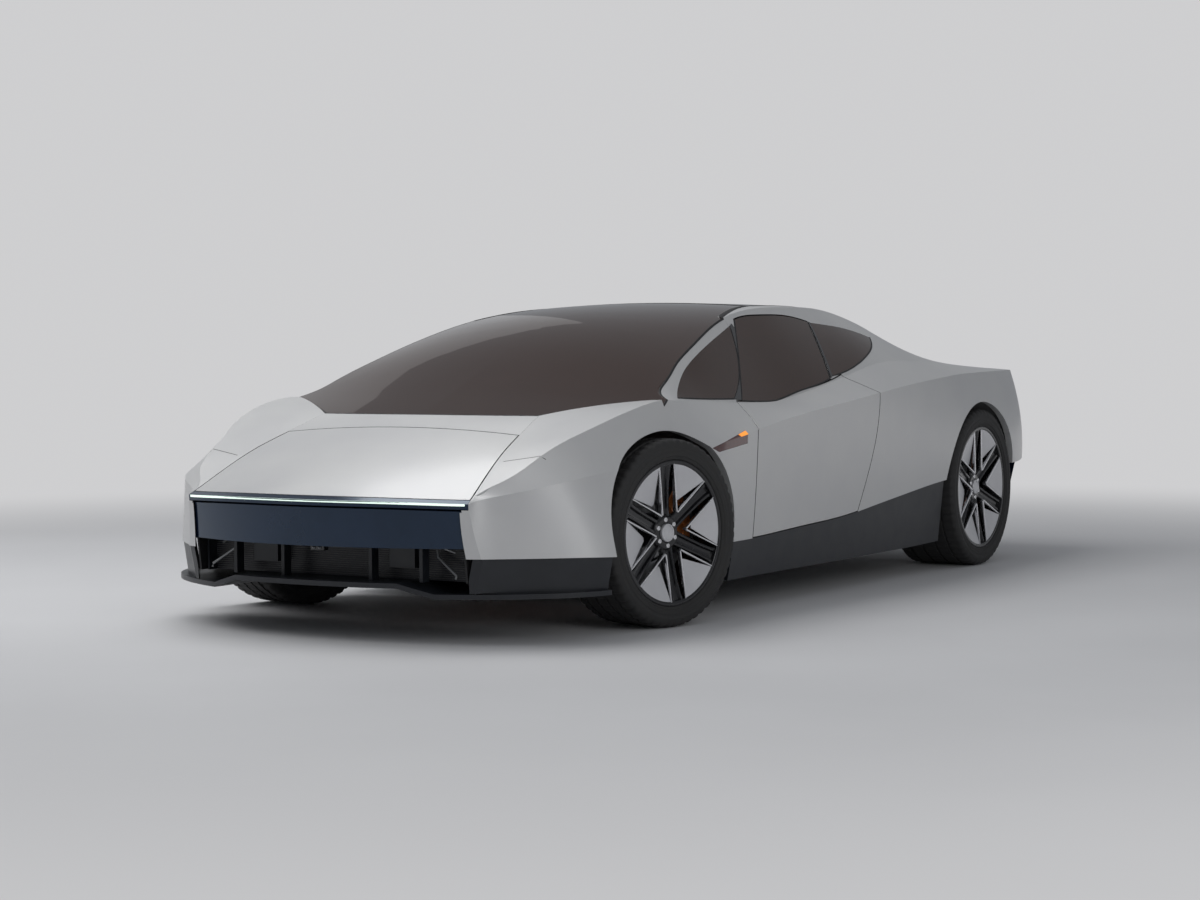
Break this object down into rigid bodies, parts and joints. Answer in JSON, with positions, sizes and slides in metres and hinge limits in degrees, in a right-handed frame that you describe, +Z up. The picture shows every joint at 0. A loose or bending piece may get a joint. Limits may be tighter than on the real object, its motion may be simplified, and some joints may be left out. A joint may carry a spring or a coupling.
{
  "type": "electric two-seat supercar",
  "caption": "Low wedge-shaped two-seat supercar with a full glass canopy, opening doors, hood and rear lid, steered front wheels and rolling star wheels with aero blades.",
  "frame": {"origin": "on the ground under the middle of the car, on its centre plane", "axes": "front toward -Y, the car's left side toward +X, +Z up"},
  "size_m": [2.0792, 4.7196, 1.217],
  "materials": {
    "paint": "satin pearl",
    "tinted_glass": "dark bronze tint",
    "dark_trim": "dark blue gloss",
    "satin_black": "satin",
    "light": "clear white",
    "red_light": "dark red",
    "tyre": "matte",
    "rim": "gloss black",
    "blade": "satin light grey",
    "iron": "machined",
    "steel": "satin",
    "seat": "soft matte",
    "liner": "matte"
  },
  "bodies": {
    "body": {"tub": "steel", "luggage_tub": "liner", "fender_left": "paint", "fender_right": "paint", "side_panel_left": "paint", "side_panel_right": "paint", "quarter_glass": "tinted_glass", "cowl_panel": "paint", "windshield": "tinted_glass", "roof_glass": "tinted_glass", "rear_window": "tinted_glass", "front_light_bar": "light", "front_panel": "dark_trim", "front_splitter": "satin_black", "front_intake": "satin_black", "side_skirts": "satin_black", "side_markers": "red_light", "wheel_liners": "liner", "rear_fascia": "dark_trim", "tail_light_bar": "red_light", "rear_diffuser": "satin_black", "arms_front": "steel", "arms_rear": "steel", "dashboard": "liner", "drive_unit": "steel", "upright_rear_left": "iron", "seat_left": "seat", "upright_rear_right": "iron", "seat_right": "seat"},
    "hood": {"hood": "paint"},
    "rear_lid": {"rear_lid": "paint"},
    "steering_wheel": {"steering_wheel": "seat"},
    "door_left": {"door_left": "paint", "door_glass_left": "tinted_glass"},
    "knuckle_left": {"knuckle_front_left": "iron"},
    "wheel_front_left": {"tyre_front_left": "tyre", "wheel_front_left": "rim", "blades_front_left": "blade"},
    "wheel_rear_left": {"tyre_rear_left": "tyre", "wheel_rear_left": "rim", "blades_rear_left": "blade"},
    "door_right": {"door_right": "paint", "door_glass_right": "tinted_glass"},
    "knuckle_right": {"knuckle_front_right": "iron"},
    "wheel_front_right": {"tyre_front_right": "tyre", "wheel_front_right": "rim", "blades_front_right": "blade"},
    "wheel_rear_right": {"tyre_rear_right": "tyre", "wheel_rear_right": "rim", "blades_rear_right": "blade"}
  },
  "joints": [
    {"name": "steer_left", "type": "hinge", "parent": "body", "child": "knuckle_left", "pos_m": [0.782, -1.337, 0.348], "axis": [0, 0, 1], "range_deg": [-20.5, 45.5]},
    {"name": "spin_front_left", "type": "hinge", "parent": "knuckle_left", "child": "wheel_front_left", "pos_m": [0.782, -1.337, 0.348], "axis": [0.9763, -0.2164, 0], "continuous": true},
    {"name": "spin_rear_left", "type": "hinge", "parent": "body", "child": "wheel_rear_left", "pos_m": [0.795, 1.514, 0.363], "axis": [1, 0, 0], "continuous": true},
    {"name": "door_left_hinge", "type": "hinge", "parent": "body", "child": "door_left", "pos_m": [0.984, -0.7412, 0.5], "axis": [0, 0, -1], "range_deg": [0, 65]},
    {"name": "steer_right", "type": "hinge", "parent": "body", "child": "knuckle_right", "pos_m": [-0.782, -1.337, 0.348], "axis": [0, 0, 1], "range_deg": [-20.5, 45.5]},
    {"name": "spin_front_right", "type": "hinge", "parent": "knuckle_right", "child": "wheel_front_right", "pos_m": [-0.782, -1.337, 0.348], "axis": [0.9763, -0.2164, 0], "continuous": true},
    {"name": "spin_rear_right", "type": "hinge", "parent": "body", "child": "wheel_rear_right", "pos_m": [-0.795, 1.514, 0.363], "axis": [1, 0, 0], "continuous": true},
    {"name": "door_right_hinge", "type": "hinge", "parent": "body", "child": "door_right", "pos_m": [-0.984, -0.7412, 0.5], "axis": [0, 0, 1], "range_deg": [0, 65]},
    {"name": "hood_hinge", "type": "hinge", "parent": "body", "child": "hood", "pos_m": [0, -1.7464, 0.738], "axis": [-1, 0, 0], "range_deg": [0, 60]},
    {"name": "rear_lid_hinge", "type": "hinge", "parent": "body", "child": "rear_lid", "pos_m": [0, 1.2864, 1.101], "axis": [1, 0, 0], "range_deg": [0, 55]},
    {"name": "steering_wheel_turn", "type": "hinge", "parent": "body", "child": "steering_wheel", "pos_m": [0.37, -0.3344, 0.7107], "axis": [0, 0.8829, 0.4695], "range_deg": [-170, 370]}
  ],
  "couplings": [
    {"joint": "steer_right", "follows": "steer_left", "ratio": 1}
  ]
}
